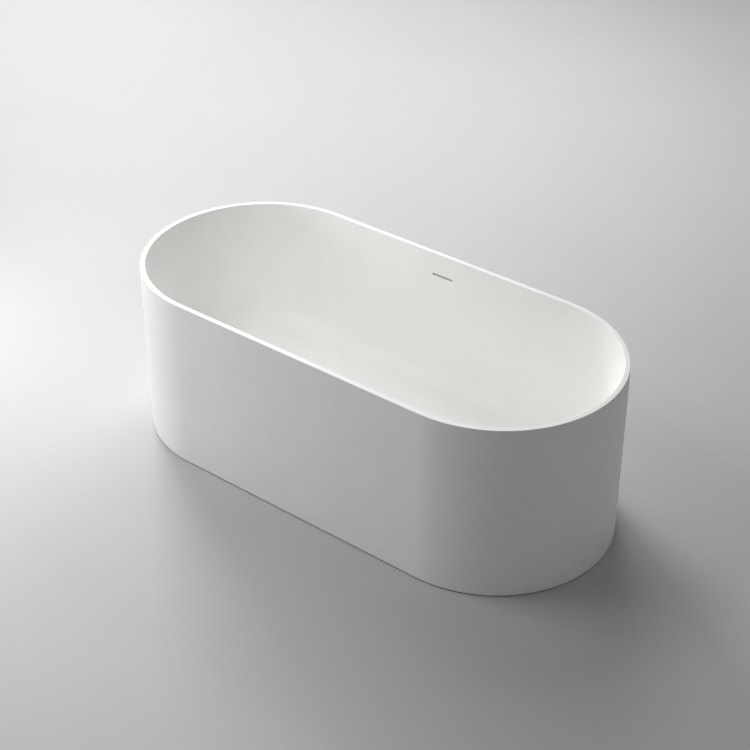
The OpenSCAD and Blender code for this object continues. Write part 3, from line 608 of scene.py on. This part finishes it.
rod_y = add_node(thread, "ShaderNodeMath", {
    0: swing_y.outputs[0], 1: reach.outputs[0]}, operation="MULTIPLY")
rod_spot = add_node(thread, "ShaderNodeCombineXYZ", {
    "X": rod_x.outputs[0], "Y": rod_y.outputs[0], "Z": height.outputs[0]})
wrapped = add_node(thread, "GeometryNodeSetPosition", {
    "Geometry": sheet.outputs["Mesh"], "Position": rod_spot.outputs[0]})
finish_tree(thread, end, wrapped.outputs[0], zinc_plate)


def joined_up(name, *pieces):
    """Joins finished meshes of one material into one piece without changing them."""
    whole = bmesh.new()
    for piece in pieces:
        whole.from_mesh(piece.data)
    mesh = bpy.data.meshes.new(name)
    whole.to_mesh(mesh)
    whole.free()
    mesh.materials.append(pieces[0].data.materials[0])
    for piece in pieces:
        bpy.data.objects.remove(piece)
    return link(name, mesh)


stud_radius = 0.006
grip_low = 0.0171
grip_high = 0.0249
grip_corner = 0.009
grip_flat = 0.0082
grip_chamfer = 0.0006
pad_edge = 0.001
pad_upright = 0.0045
pad_round = 0.0035
pad_top = pad_upright + pad_round
collar_radius = 0.012
socket_gap = 0.00005
socket_floor = 0.007
# The hollow between the pad's top and its collar, as steps outwards and up from their corner.
pad_hollow = ((0.0017, 0.0002), (0.0002, 0.0008), (0, 0.002))
for number in (1, 2, 3, 4):
    stud_node = "foot_stud_%d" % number
    low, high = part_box(stud_node)
    centre = Vector(((low.x + high.x) / 2, (low.y + high.y) / 2, 0))
    rod = close_up(grow("rod", [(0, 0, 0)], [], thread, {
        "Radius": stud_radius, "Depth": 0.0009, "Pitch": 0.00175,
        "Low": low.z, "High": high.z, "Sides": 24.0}))
    grip = turned("grip", [
        (0, grip_low), (grip_flat, grip_low), (grip_corner, grip_low + grip_chamfer),
        (grip_corner, grip_high - grip_chamfer), (grip_flat, grip_high), (0, grip_high)], 6)
    stud = joined_up("levelling_stud_%d" % number, rod, grip)
    stud.data.transform(Matrix.Translation(centre))
    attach(stud, "foot_%d_screw" % number)
    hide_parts(stud_node)

    pad_node = "foot_pad_%d" % number
    low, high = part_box(pad_node)
    pad_radius = (high.x - low.x) / 2
    bore = stud_radius + socket_gap
    pad_profile = [(0, 0), (pad_radius - pad_edge, 0), (pad_radius, pad_edge), (pad_radius, pad_upright)]
    pad_profile += arc((pad_radius - pad_round, pad_upright), pad_round, 0, math.pi / 2, 5)[1:]
    pad_profile += [(collar_radius + out_by, pad_top + up_by) for out_by, up_by in pad_hollow]
    pad_profile += [(collar_radius, high.z - pad_edge), (collar_radius - pad_edge, high.z)]
    pad_profile += [(bore, high.z), (bore, socket_floor), (0, socket_floor)]
    pad = turned("levelling_pad_%d" % number, pad_profile, 64)
    pad.data.transform(Matrix.Translation(centre))
    pad.data.materials.append(black_plastic)
    pad = even_shading(pad)
    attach(pad, "foot_%d" % number)
    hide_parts(pad_node)

# --- Waste -----------------------------------------------------------------------------------
# A chrome-plated brass waste: a flanged tube bedded in the basin's recess on a thin washer and
# pulled down from below by a lugged black nut on a thick rubber washer.

# Chrome plate: a clean mirror that dried water dulls a little in 12 mm patches.
chrome_plate, tree, surface, place = start_material("polished_chrome_plate")
film = add_node(tree, "ShaderNodeTexNoise", {"Vector": place, "Scale": 1 / 0.012, "Detail": 5.0})
chrome_gloss = add_node(tree, "ShaderNodeMapRange", {
    "Value": film.outputs["Fac"], "To Min": 0.05, "To Max": 0.14})
chrome_spread = add_node(tree, "ShaderNodeMapRange", {
    "Value": film.outputs["Fac"], "From Min": 0.3, "From Max": 0.7})
chrome_tint = add_node(tree, "ShaderNodeMix", {
    0: chrome_spread.outputs["Result"], 6: colour("#DCDFE1"), 7: colour("#EDEFF0")}, data_type="RGBA")
tree.links.new(chrome_tint.outputs[2], surface.inputs["Base Color"])
tree.links.new(chrome_gloss.outputs["Result"], surface.inputs["Roughness"])
surface.inputs["Metallic"].default_value = 1.0
for node in ("waste_body", "plug_stem"):
    repaint(node, chrome_plate)

# Moulded rubber: matt black with a chalky 4 mm bloom, for every washer and gasket.
seal_rubber, tree, surface, place = start_material("moulded_epdm_rubber")
chalk = add_node(tree, "ShaderNodeTexNoise", {"Vector": place, "Scale": 1 / 0.004, "Detail": 5.0})
rubber_relief = add_node(tree, "ShaderNodeBump", {
    "Height": chalk.outputs["Fac"], "Strength": 0.3, "Distance": 0.0001})
rubber_spread = add_node(tree, "ShaderNodeMapRange", {
    "Value": chalk.outputs["Fac"], "From Min": 0.3, "From Max": 0.7})
rubber_tint = add_node(tree, "ShaderNodeMix", {
    0: rubber_spread.outputs["Result"], 6: colour("#1E1F20"), 7: colour("#343536")}, data_type="RGBA")
tree.links.new(rubber_tint.outputs[2], surface.inputs["Base Color"])
tree.links.new(rubber_relief.outputs["Normal"], surface.inputs["Normal"])
surface.inputs["Roughness"].default_value = 0.78
washers = ("flange_washer", "under_washer", "trap_washer", "trap_cup_seal", "outlet_seal")
for node in washers + ("overflow_gasket", "plug_seal"):
    repaint(node, seal_rubber)

# --- Click plug ------------------------------------------------------------------------------
# The plug is a domed white cap on a chrome stem. It slides in a turned brass cartridge, is pushed
# open by a zinc-plated spring and has a rubber ring under the cap.

# Turned brass: a warm metal with lathe marks round it and light tarnish. The wave repeats
# 3.2 times in each 2.5 mm, so the marks are 0.8 mm apart, coarser than real ones so that they show.
turned_brass, tree, surface, place = start_material("turned_brass")
lathe = add_node(tree, "ShaderNodeTexWave", {
    "Vector": place, "Scale": 1 / 0.0025, "Distortion": 0.4}, bands_direction="Z")
tarnish = add_node(tree, "ShaderNodeTexNoise", {"Vector": place, "Scale": 1 / 0.008, "Detail": 4.0})
lathe_marks = add_node(tree, "ShaderNodeBump", {
    "Height": lathe.outputs["Fac"], "Strength": 0.2, "Distance": 0.00005})
brass_spread = add_node(tree, "ShaderNodeMapRange", {
    "Value": tarnish.outputs["Fac"], "From Min": 0.3, "From Max": 0.7})
brass_tint = add_node(tree, "ShaderNodeMix", {
    0: brass_spread.outputs["Result"], 6: colour("#B68D45"), 7: colour("#D8B468")}, data_type="RGBA")
tree.links.new(brass_tint.outputs[2], surface.inputs["Base Color"])
tree.links.new(lathe_marks.outputs["Normal"], surface.inputs["Normal"])
surface.inputs["Metallic"].default_value = 1.0
surface.inputs["Roughness"].default_value = 0.3
repaint("click_cartridge", turned_brass)

# The spring: a round wire wound four times round the stem. It flattens as the plug is pressed.
coil, start, end = new_tree("coil_spring", ["Coil Radius", "Wire Radius", "Height", "Turns"])
coil_radius, wire_radius, coil_height, coil_turns = [
    start.outputs[key] for key in ("Coil Radius", "Wire Radius", "Height", "Turns")]
helix = add_node(coil, "GeometryNodeCurveSpiral", {
    "Resolution": 32, "Rotations": coil_turns, "Start Radius": coil_radius, "End Radius": coil_radius,
    "Height": coil_height})
wire = add_node(coil, "GeometryNodeCurvePrimitiveCircle", {
    "Resolution": 12, "Radius": wire_radius}, mode="RADIUS")
wound_wire = add_node(coil, "GeometryNodeCurveToMesh", {
    "Curve": helix.outputs["Curve"], "Profile Curve": wire.outputs["Curve"], "Fill Caps": True})
finish_tree(coil, end, wound_wire.outputs[0], zinc_plate)

wire_size = 0.0007
spring_low, spring_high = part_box("plug_spring")
spring_height = spring_high.z - spring_low.z
spring = close_up(grow("coil_spring", [(0, 0, 0)], [], coil, {
    "Coil Radius": 0.0066, "Wire Radius": wire_size,
    "Height": spring_height - 2 * wire_size, "Turns": 4.0}), 60)
spring.data.transform(Matrix.Translation((0, 0, spring_low.z + wire_size)))
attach(spring, "tub")
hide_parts("plug_spring")
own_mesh(spring)

# White lacquer on the cap: the tub's white with a closer, glossier skin.
white_lacquer, tree, surface, place = start_material("white_lacquered_brass")
wear = add_node(tree, "ShaderNodeTexNoise", {"Vector": place, "Scale": 1 / 0.01, "Detail": 4.0})
lacquer_gloss = add_node(tree, "ShaderNodeMapRange", {
    "Value": wear.outputs["Fac"], "To Min": 0.26, "To Max": 0.32})
lacquer_spread = add_node(tree, "ShaderNodeMapRange", {
    "Value": wear.outputs["Fac"], "From Min": 0.2, "From Max": 0.8})
lacquer_tint = add_node(tree, "ShaderNodeMix", {
    0: lacquer_spread.outputs["Result"], 6: colour("#F3F3F1"), 7: colour("#F5F5F3")}, data_type="RGBA")
tree.links.new(lacquer_tint.outputs[2], surface.inputs["Base Color"])
tree.links.new(lacquer_gloss.outputs["Result"], surface.inputs["Roughness"])

cap_low, cap_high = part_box("plug_cap")
cap_edge = 0.0007
cap_rim = 0.002
dome_height = cap_high.z - cap_low.z - cap_rim
dome_radius = (cap_high.x ** 2 + dome_height ** 2) / (2 * dome_height)
dome_start = math.acos((cap_high.x - cap_edge) / dome_radius)
dome = arc((0, cap_high.z - dome_radius), dome_radius, dome_start, math.pi / 2, 20)
cap = turned("plug_cap_domed", [
    (0, cap_low.z), (cap_high.x - cap_edge, cap_low.z), (cap_high.x, cap_low.z + cap_edge),
    (cap_high.x, dome[0][1] - cap_edge / 2)] + dome[:-1] + [(0, cap_high.z)], 96)
cap.data.materials.append(white_lacquer)
cap = even_shading(cap)
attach(cap, "plug")
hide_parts("plug_cap")

# --- Tee and trap ----------------------------------------------------------------------------
# White polypropylene mouldings: a tee with the overflow branch and a dip tube, a bottle trap whose
# cup unscrews, and a push-fit pipe that bends down to the floor. The cup and nuts have grip ribs.

# Polypropylene: a waxy grey-white with faint flow marks and a 1.2 mm mould skin.
white_plastic, tree, surface, place = start_material("moulded_white_polypropylene")
flow = add_node(tree, "ShaderNodeTexNoise", {
    "Vector": place, "Scale": 1 / 0.025, "Detail": 3.0, "Distortion": 0.8})
skin = add_node(tree, "ShaderNodeTexNoise", {"Vector": place, "Scale": 1 / 0.0012, "Detail": 2.0})
white_gloss = add_node(tree, "ShaderNodeMapRange", {
    "Value": flow.outputs["Fac"], "To Min": 0.3, "To Max": 0.42})
skin_relief = add_node(tree, "ShaderNodeBump", {
    "Height": skin.outputs["Fac"], "Strength": 0.15, "Distance": 0.00005})
white_spread = add_node(tree, "ShaderNodeMapRange", {
    "Value": flow.outputs["Fac"], "From Min": 0.3, "From Max": 0.7})
white_tint = add_node(tree, "ShaderNodeMix", {
    0: white_spread.outputs["Result"], 6: colour("#E2E2DD"), 7: colour("#EFEFEB")}, data_type="RGBA")
tree.links.new(white_tint.outputs[2], surface.inputs["Base Color"])
tree.links.new(white_gloss.outputs["Result"], surface.inputs["Roughness"])
tree.links.new(skin_relief.outputs["Normal"], surface.inputs["Normal"])
for node in ("waste_tee", "trap_nut", "trap_body", "outlet_pipe", "overflow_duct"):
    repaint(node, white_plastic)

# Grip ribs: one small bar is copied round a circle and turned to face outwards at every point.
ribs, start, end = new_tree("grip_ribs", ["Count", "Radius", "Height", "Width", "Depth"])
rib_count, rib_radius, rib_height, rib_width, rib_depth = [
    start.outputs[key] for key in ("Count", "Radius", "Height", "Width", "Depth")]
rib_ring = add_node(ribs, "GeometryNodeMeshCircle", {"Vertices": rib_count, "Radius": rib_radius})
rib_size = add_node(ribs, "ShaderNodeCombineXYZ", {"X": rib_depth, "Y": rib_width, "Z": rib_height})
rib = add_node(ribs, "GeometryNodeMeshCube", {"Size": rib_size.outputs[0]})
rib_place = add_node(ribs, "GeometryNodeInputPosition")
rib_spot = add_node(ribs, "ShaderNodeSeparateXYZ", {0: rib_place.outputs[0]})
rib_turn = add_node(ribs, "ShaderNodeMath", {
    0: rib_spot.outputs["Y"], 1: rib_spot.outputs["X"]}, operation="ARCTAN2")
rib_facing = add_node(ribs, "ShaderNodeCombineXYZ", {"Z": rib_turn.outputs[0]})
rib_copies = add_node(ribs, "GeometryNodeInstanceOnPoints", {
    "Points": rib_ring.outputs["Mesh"], "Instance": rib.outputs["Mesh"], "Rotation": rib_facing.outputs[0]})
finish_tree(ribs, end, rib_copies.outputs[0], white_plastic)

rib_stand = 0.0008


def ribbed(name, profile, count, outer, low, high, material, place=Matrix.Identity(4)):
    """A turned nut or cup with grip ribs from height low to high round it, moved to its place."""
    body = turned(name + "_body", profile, 64)
    body.data.materials.append(material)
    body = even_shading(body)
    grips = grow(name + "_ribs", [(0, 0, 0)], [], ribs, {
        "Count": float(count), "Radius": outer - rib_stand, "Height": high - low,
        "Width": 0.0022, "Depth": 2 * rib_stand})
    grips.data.transform(Matrix.Translation((0, 0, (low + high) / 2)))
    piece = joined_up(name, body, grips)
    piece.data.transform(place)
    return piece


cup_low, cup_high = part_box("trap_cup")
bottle_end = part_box("trap_body")[0].z
bottle_radius = 0.042
cup_wall = 0.0035
cup_corner = 0.006
cup_inner_corner = 0.007
cup_edge = 0.001
rib_inset = 0.002
band_height = 0.015
band_low = cup_high.z - band_height
band_radius = cup_high.x - rib_stand
seal_thickness = 0.002
seal_seat = bottle_end - seal_thickness
cup = ribbed("trap_cup_ribbed", [
    (0, cup_low.z), (bottle_radius - cup_corner, cup_low.z), (bottle_radius, cup_low.z + cup_corner),
    (bottle_radius, band_low), (band_radius - cup_edge, band_low), (band_radius, band_low + cup_edge),
    (band_radius, cup_high.z - cup_edge), (band_radius - cup_edge, cup_high.z),
    (bottle_radius, cup_high.z), (bottle_radius, seal_seat), (bottle_radius - cup_wall, seal_seat),
    (bottle_radius - cup_wall, cup_low.z + cup_corner),
    (bottle_radius - cup_inner_corner, cup_low.z + cup_wall), (0, cup_low.z + cup_wall)],
    24, cup_high.x, band_low + rib_inset, cup_high.z - rib_inset, white_plastic)
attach(cup, "trap")
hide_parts("trap_cup")

nut_low, nut_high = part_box("outlet_nut")
outlet_z = (nut_low.z + nut_high.z) / 2
nut_outer = (nut_high.z - nut_low.z) / 2
nut_radius = nut_outer - rib_stand
pipe_radius = 0.020
socket_radius = 0.0235
nut_edge = 0.001
nut_chamfer = 0.002
nut_lip = 0.003
along_x = Matrix.Translation((0, 0, outlet_z)) @ Matrix.Rotation(math.pi / 2, 4, "Y")
outlet_nut = ribbed("outlet_nut_ribbed", [
    (socket_radius, nut_low.x), (nut_radius - nut_edge, nut_low.x), (nut_radius, nut_low.x + nut_edge),
    (nut_radius, nut_high.x - nut_chamfer), (nut_radius - nut_chamfer, nut_high.x),
    (pipe_radius, nut_high.x), (pipe_radius, nut_high.x - nut_lip), (socket_radius, nut_high.x - nut_lip)],
    18, nut_outer, nut_low.x + rib_inset, nut_high.x - nut_chamfer - rib_inset, white_plastic, along_x)
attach(outlet_nut, "trap")
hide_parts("outlet_nut")

# --- Overflow --------------------------------------------------------------------------------
# A white moulded duct is screwed over the slot on the basin's outer face. A grey corrugated hose
# runs from its collar down behind the skirt and under the board to the tee, held by ribbed nuts.

# Four small screws stand square to the leaning wall at the corners of the duct's flange.
duct_gasket = 0.0015
duct_flange = 0.003
duct_screw_bite = 0.004
duct_screw_x = 0.057
duct_screw_heights = (0.006, -0.034)
head_stand = duct_gasket + duct_flange
duct_screw = pan_head(
    "duct_screw_pattern", head_radius=0.0035, head_height=0.002, shank_radius=0.00175,
    shank_length=head_stand + duct_screw_bite)
up_wall = Vector((0, math.sin(wall_lean), math.cos(wall_lean)))
off_wall = Vector((0, math.cos(wall_lean), -math.sin(wall_lean)))
slot_middle = Vector((0, wall_at(slot_z) + wall_thickness / math.cos(wall_lean), slot_z))
duct_spots = [
    slot_middle + Vector((x, 0, 0)) + up * up_wall + head_stand * off_wall
    for x in (-duct_screw_x, duct_screw_x) for up in duct_screw_heights]
duct_screws = set_out("duct_screws", duct_screw, duct_spots, zinc_plate, math.pi / 2 - wall_lean)
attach(duct_screws, "tub")
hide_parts("overflow_screws")

# Grey polypropylene hose, with a thin film of dust that dulls it unevenly.
grey_hose, tree, surface, place = start_material("corrugated_polypropylene_hose")
dust = add_node(tree, "ShaderNodeTexNoise", {"Vector": place, "Scale": 1 / 0.015, "Detail": 4.0})
hose_gloss = add_node(tree, "ShaderNodeMapRange", {
    "Value": dust.outputs["Fac"], "To Min": 0.38, "To Max": 0.55})
hose_spread = add_node(tree, "ShaderNodeMapRange", {
    "Value": dust.outputs["Fac"], "From Min": 0.3, "From Max": 0.7})
hose_tint = add_node(tree, "ShaderNodeMix", {
    0: hose_spread.outputs["Result"], 6: colour("#A9ACAF"), 7: colour("#C3C6C8")}, data_type="RGBA")
tree.links.new(hose_tint.outputs[2], surface.inputs["Base Color"])
tree.links.new(hose_gloss.outputs["Result"], surface.inputs["Roughness"])

# The hose: a ring is carried along its route and drawn in and out again once in every pitch.
ridged, start, end = new_tree("corrugated_hose", ["Radius", "Groove", "Pitch"])
crest, groove, ridge_pitch = [start.outputs[key] for key in ("Radius", "Groove", "Pitch")]
route = add_node(ridged, "GeometryNodeMeshToCurve", {"Mesh": start.outputs["Geometry"]})
ring_step = add_node(ridged, "ShaderNodeMath", {0: ridge_pitch, 1: 6.0}, operation="DIVIDE")
even = add_node(ridged, "GeometryNodeResampleCurve", {
    "Curve": route.outputs[0], "Length": ring_step.outputs[0]}, mode="LENGTH")
run = add_node(ridged, "GeometryNodeSplineParameter")
phase = add_node(ridged, "ShaderNodeMath", {0: run.outputs["Length"], 1: ridge_pitch}, operation="DIVIDE")
wave_turn = add_node(ridged, "ShaderNodeMath", {
    0: phase.outputs[0], 1: 2 * math.pi}, operation="MULTIPLY")
ripple = add_node(ridged, "ShaderNodeMath", {0: wave_turn.outputs[0]}, operation="COSINE")
drawn_in = add_node(ridged, "ShaderNodeMath", {
    0: ripple.outputs[0], 1: -0.5, 2: 0.5}, operation="MULTIPLY_ADD")
inward = add_node(ridged, "ShaderNodeMath", {0: drawn_in.outputs[0], 1: groove}, operation="MULTIPLY")
ring_radius = add_node(ridged, "ShaderNodeMath", {0: crest, 1: inward.outputs[0]}, operation="SUBTRACT")
hoop = add_node(ridged, "GeometryNodeCurvePrimitiveCircle", {
    "Resolution": 32, "Radius": 1.0}, mode="RADIUS")
tube = add_node(ridged, "GeometryNodeCurveToMesh", {
    "Curve": even.outputs[0], "Profile Curve": hoop.outputs["Curve"], "Scale": ring_radius.outputs[0],
    "Fill Caps": True})
finish_tree(ridged, end, tube.outputs[0], grey_hose)

hose_low, hose_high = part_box("overflow_hose")
hose_radius = hose_high.x
hose_y = hose_high.y - hose_radius
branch_z = hose_low.z + hose_radius
hose_bend = 0.060
bend_middle = (hose_y - hose_bend, branch_z + hose_bend)
hose_path = [(0, hose_y, hose_high.z)]
hose_path += [(0, y, z) for y, z in arc(bend_middle, hose_bend, 0, -math.pi / 2, 24)]
hose_path.append((0, hose_low.y, branch_z))
hose_edges = [(i, i + 1) for i in range(len(hose_path) - 1)]
hose = close_up(grow("corrugated_hose", hose_path, hose_edges, ridged, {
    "Radius": hose_radius, "Groove": 0.0016, "Pitch": 0.005}), 60)
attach(hose, "tub")
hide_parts("overflow_hose")

hose_nut_length = 0.016
hose_nut_edge = 0.0006
along_y = Matrix.Rotation(-math.pi / 2, 4, "X")
nut_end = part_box("hose_nut_bottom")[0].y
for node, place in (
        ("hose_nut_top", Matrix.Translation((0, hose_y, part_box("hose_nut_top")[0].z))),
        ("hose_nut_bottom", Matrix.Translation((0, nut_end, branch_z)) @ along_y)):
    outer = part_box(node)[1].x
    body = outer - rib_stand
    nut = ribbed(node + "_ribbed", [
        (hose_radius, 0), (body - hose_nut_edge, 0), (body, hose_nut_edge),
        (body, hose_nut_length - hose_nut_edge), (body - hose_nut_edge, hose_nut_length),
        (hose_radius, hose_nut_length)],
        16, outer, rib_inset, hose_nut_length - rib_inset, black_plastic, place)
    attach(nut, "tub")
    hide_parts(node)

# --- Studio ----------------------------------------------------------------------------------
# A plain pale floor and soft lights from the left and overhead. The camera stands in front of the
# tub, to its right and above it, and nothing here belongs to the object.

scene = bpy.context.scene
camera = bpy.data.objects.new("camera", bpy.data.cameras.new("camera"))
camera.data.sensor_width = 36
camera.data.lens = 81.738
camera.location = (2.7177, -3.3953, 3.1803)
looking = Vector((-0.0216, 0.0318, 0.2970)) - camera.location
camera.rotation_euler = looking.to_track_quat("-Z", "Y").to_euler()
camera.data.clip_end = 200
scene.collection.objects.link(camera)
scene.camera = camera
scene.view_settings.view_transform = "Standard"

# The floor is a matt painted board, large enough that its far edge lies behind the horizon.
painted_floor, tree, surface, place = start_material("matt_painted_floor")
mottle = add_node(tree, "ShaderNodeTexNoise", {"Vector": place, "Scale": 1 / 0.5, "Detail": 3.0})
floor_spread = add_node(tree, "ShaderNodeMapRange", {
    "Value": mottle.outputs["Fac"], "From Min": 0.3, "From Max": 0.7})
floor_tint = add_node(tree, "ShaderNodeMix", {
    0: floor_spread.outputs["Result"], 6: colour("#BCBBBA"), 7: colour("#BEBDBC")}, data_type="RGBA")
tree.links.new(floor_tint.outputs[2], surface.inputs["Base Color"])
surface.inputs["Roughness"].default_value = 0.6
floor_half = 40
corners = [(x * floor_half, y * floor_half, 0) for x, y in ((-1, -1), (1, -1), (1, 1), (-1, 1))]
floor_mesh = bpy.data.meshes.new("floor")
floor_mesh.from_pydata(corners, [], [(0, 1, 2, 3)])
floor = link("floor", floor_mesh)
floor.data.materials.append(painted_floor)


def soft_light(name, place, aim, size, watts):
    """A square soft box that lights the tub and isn't seen by the camera."""
    lamp = bpy.data.lights.new(name, "AREA")
    lamp.size = size
    lamp.energy = watts
    box = bpy.data.objects.new(name, lamp)
    box.location = place
    box.rotation_euler = (Vector(aim) - Vector(place)).to_track_quat("-Z", "Y").to_euler()
    box.visible_camera = False
    scene.collection.objects.link(box)


tub_middle = (0, 0, 0.3)
soft_light("key_from_the_left", (-5.45, 3.15, 3.37), tub_middle, 2.1, 222)
soft_light("top_left", (-3, 2, 5), (0, 0, 0), 3, 79)
soft_light("over_near_left", (-1.2, -1.2, 2.6), (-1.2, -1.2, 0), 1.2, 28)
soft_light("over_far_left", (-1.2, 2.4, 2.6), (-1.2, 2.4, 0), 1.2, 38)
soft_light("fill_near_left", (-4.18, -4.18, 1.34), tub_middle, 3, 49)
soft_light("fill_right", (4.60, 0, 4.16), tub_middle, 3, 22)
soft_light("inside_left", (-0.15, 0, 0.95), (-0.75, 0, 0.42), 0.4, 0.4)
soft_light("low_left", (-2.05, -0.75, 0.61), tub_middle, 0.66, 9)
world = bpy.data.worlds.new("studio")
world.use_nodes = True
ambient = world.node_tree.nodes["Background"]
ambient.inputs["Color"].default_value = (1, 1, 1, 1)
ambient.inputs["Strength"].default_value = 0.15
scene.world = world
